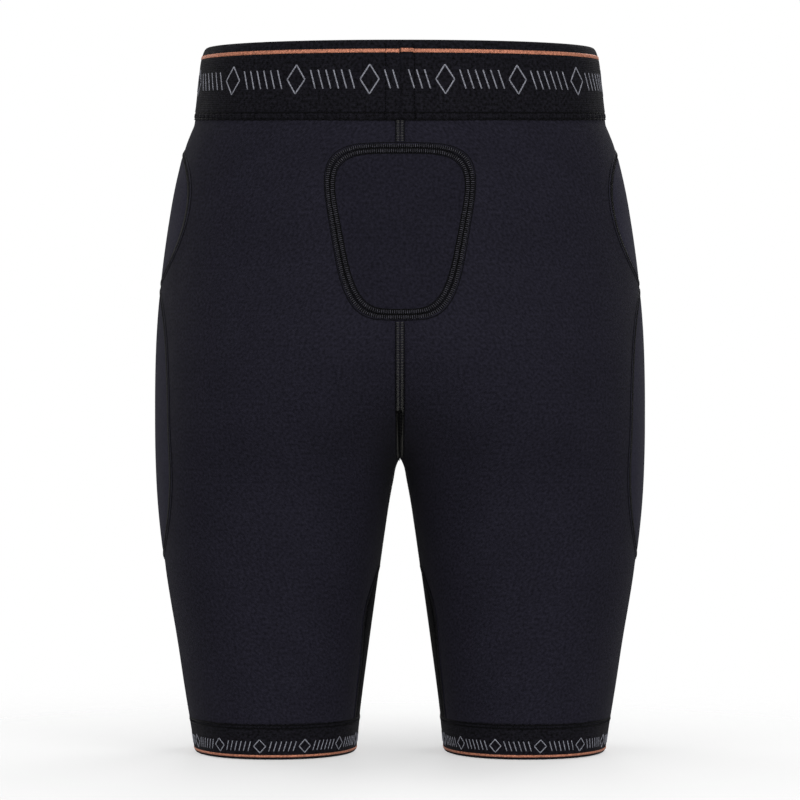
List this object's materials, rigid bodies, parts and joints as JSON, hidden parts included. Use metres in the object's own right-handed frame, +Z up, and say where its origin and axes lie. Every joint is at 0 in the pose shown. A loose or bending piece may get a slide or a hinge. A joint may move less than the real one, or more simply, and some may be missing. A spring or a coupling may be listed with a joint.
{
  "type": "padded impact shorts",
  "caption": "Close-fitting knee-length padded shorts with elastic waistband and hems, side and tailbone pad pockets, foam pads and legs that flex at the hips.",
  "frame": {"origin": "midway between the two hems on the plane the hems end at, halfway between the foremost and rearmost points", "axes": "+Z up, towards the waist; the front of the shorts faces -Y, the back +Y; the wearer's left side is +X"},
  "size_m": [0.3358, 0.2471, 0.475],
  "materials": {
    "body_knit": "smooth matt compression knit, navy black",
    "side_knit": "matt knit, slightly lighter than the body",
    "gusset_mesh": "open mesh, black",
    "elastic": "woven elastic, black with a grey jacquard pattern and a copper edge stripe",
    "thread": "overlock and coverstitch thread, charcoal",
    "label_satin": "blank satin ribbon",
    "pad_foam": "matt closed-cell foam",
    "lining_mesh": "fine pocket mesh, charcoal"
  },
  "bodies": {
    "pelvis": {"back_panel_left_upper": "body_knit", "back_panel_right_upper": "body_knit", "front_panel_left_upper": "body_knit", "front_panel_right_upper": "body_knit", "back_panel_left_flex": "body_knit", "back_panel_right_flex": "body_knit", "front_panel_left_flex": "body_knit", "front_panel_right_flex": "body_knit", "front_pouch_left": "body_knit", "front_pouch_right": "body_knit", "tailbone_patch": "body_knit", "hip_patch_left": "side_knit", "hip_patch_right": "side_knit", "waistband": "elastic", "waistband_join_tape": "elastic", "waist_coverstitch": "thread", "centre_back_coverstitch_upper": "thread", "centre_back_coverstitch_lower": "thread", "tailbone_coverstitch": "thread", "care_label": "label_satin", "hip_pocket_liner_left": "lining_mesh", "hip_pocket_liner_right": "lining_mesh", "tailbone_pocket_liner": "lining_mesh"},
    "left_leg": {"back_panel_left_lower": "body_knit", "front_panel_left_lower": "body_knit", "inner_thigh_gusset_left": "gusset_mesh", "thigh_patch_left": "side_knit", "thigh_pocket_liner_left": "lining_mesh", "thigh_pad_left": "pad_foam", "hem_band_left": "elastic", "hem_coverstitch_left": "thread"},
    "right_leg": {"back_panel_right_lower": "body_knit", "front_panel_right_lower": "body_knit", "inner_thigh_gusset_right": "gusset_mesh", "thigh_patch_right": "side_knit", "thigh_pocket_liner_right": "lining_mesh", "thigh_pad_right": "pad_foam", "hem_band_right": "elastic", "hem_coverstitch_right": "thread"},
    "left_hip_pad": {"hip_pad_left": "pad_foam"},
    "right_hip_pad": {"hip_pad_right": "pad_foam"},
    "tailbone_pad": {"tailbone_pad": "pad_foam"}
  },
  "joints": [
    {"name": "left_hip_flexion", "type": "hinge", "parent": "pelvis", "child": "left_leg", "pos_m": [0.08, -0.0112, 0.315], "axis": [-1, 0, 0], "range_deg": [-15, 35], "deforming": ["back_panel_left_flex", "front_panel_left_flex", "inner_thigh_gusset_left", "thigh_patch_left"]},
    {"name": "right_hip_flexion", "type": "hinge", "parent": "pelvis", "child": "right_leg", "pos_m": [-0.08, -0.0112, 0.315], "axis": [-1, 0, 0], "range_deg": [-15, 35], "deforming": ["back_panel_right_flex", "front_panel_right_flex", "inner_thigh_gusset_right", "thigh_patch_right"]},
    {"name": "left_hip_pad_slide", "type": "slide", "parent": "pelvis", "child": "left_hip_pad", "axis": [-0.2241, 0, 0.9746], "range_m": [0, 0.16]},
    {"name": "right_hip_pad_slide", "type": "slide", "parent": "pelvis", "child": "right_hip_pad", "axis": [0.2241, 0, 0.9746], "range_m": [0, 0.16]},
    {"name": "tailbone_pad_slide", "type": "slide", "parent": "pelvis", "child": "tailbone_pad", "axis": [0, -0.2562, 0.9666], "range_m": [0, 0.185]}
  ]
}
